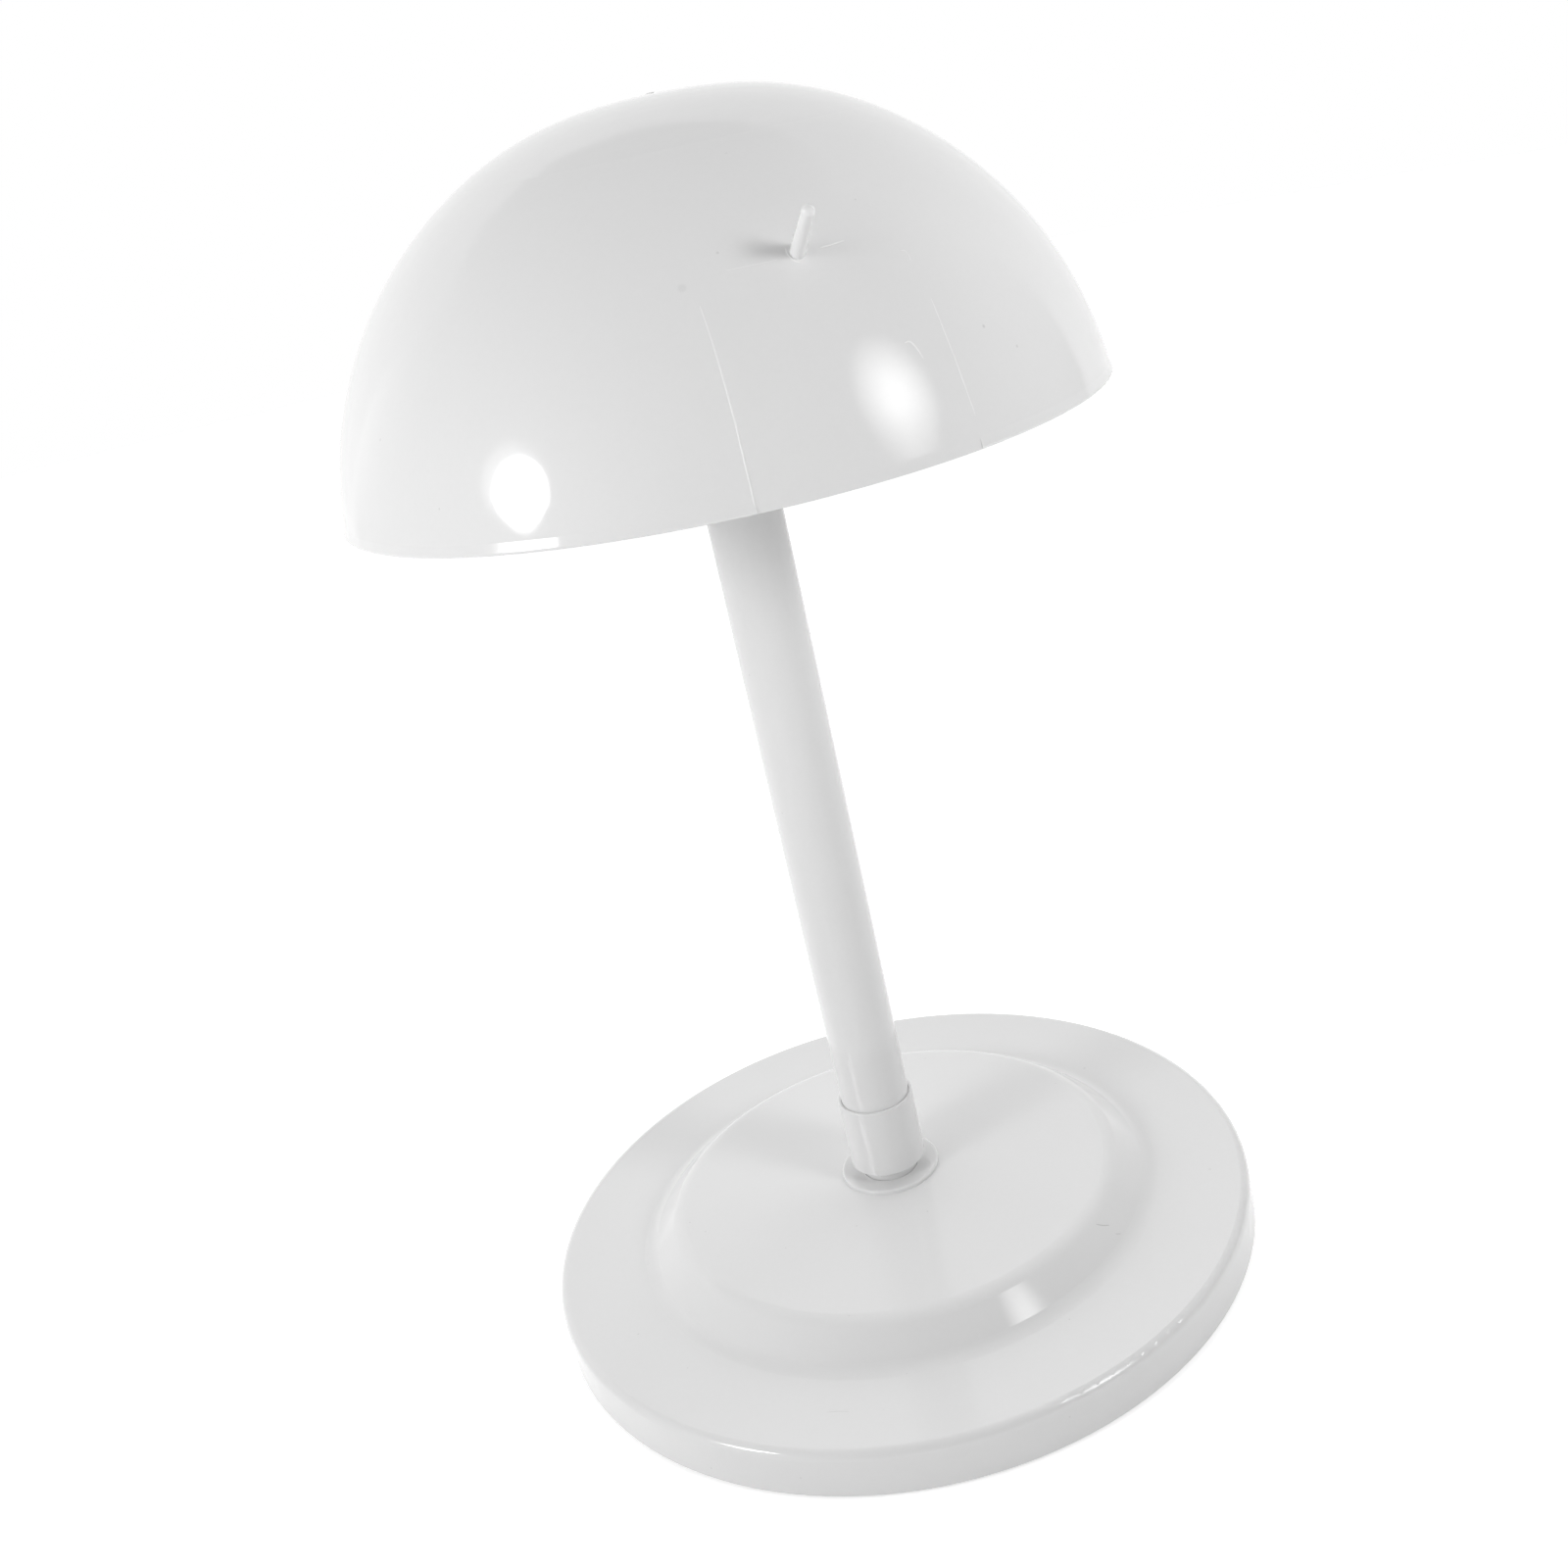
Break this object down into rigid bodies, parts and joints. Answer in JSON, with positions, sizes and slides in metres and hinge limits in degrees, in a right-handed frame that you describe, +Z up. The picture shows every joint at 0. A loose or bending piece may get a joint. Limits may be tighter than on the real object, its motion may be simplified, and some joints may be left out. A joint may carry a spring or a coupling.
{
  "type": "milliners hat stand",
  "caption": "Dome-topped hat stand: a head-sized hollow dome with a small front peg, on a round pole that stands in a sleeve on a stepped round base.",
  "frame": {"origin": "on the surface that the stand rests on, under the centre of the pole", "axes": "+Z up along the pole; -Y to the front, where the dome's peg points; +X to the right"},
  "size_m": [0.2072, 0.2072, 0.3263],
  "materials": {
    "dome_plastic": "glossy moulded white plastic with faint mould witness lines",
    "pole_plastic": "glossy extruded white plastic tube",
    "sleeve_plastic": "glossy moulded white plastic",
    "base_plastic": "glossy moulded white plastic with fine handling scratches",
    "nut_plastic": "plain natural white plastic",
    "washer_steel": "zinc plated, satin",
    "foot_rubber": "matte grey rubber"
  },
  "bodies": {
    "base": {"base_shell": "base_plastic", "foot_pad_front_right": "foot_rubber", "foot_pad_back_right": "foot_rubber", "foot_pad_back_left": "foot_rubber", "foot_pad_front_left": "foot_rubber"},
    "sleeve": {"pole_sleeve": "sleeve_plastic", "sleeve_washer": "washer_steel", "sleeve_nut": "nut_plastic"},
    "pole": {"pole_tube": "pole_plastic"},
    "dome": {"dome_shell": "dome_plastic"}
  },
  "joints": [
    {"name": "sleeve_turn", "type": "hinge", "parent": "base", "child": "sleeve", "pos_m": [0, 0, 0.02371], "axis": [0, 0, 1], "continuous": true},
    {"name": "pole_pull", "type": "slide", "parent": "sleeve", "child": "pole", "axis": [0, 0, 1], "range_m": [0, 0.025]},
    {"name": "dome_lift", "type": "slide", "parent": "pole", "child": "dome", "axis": [0, 0, 1], "range_m": [0, 0.045]}
  ]
}
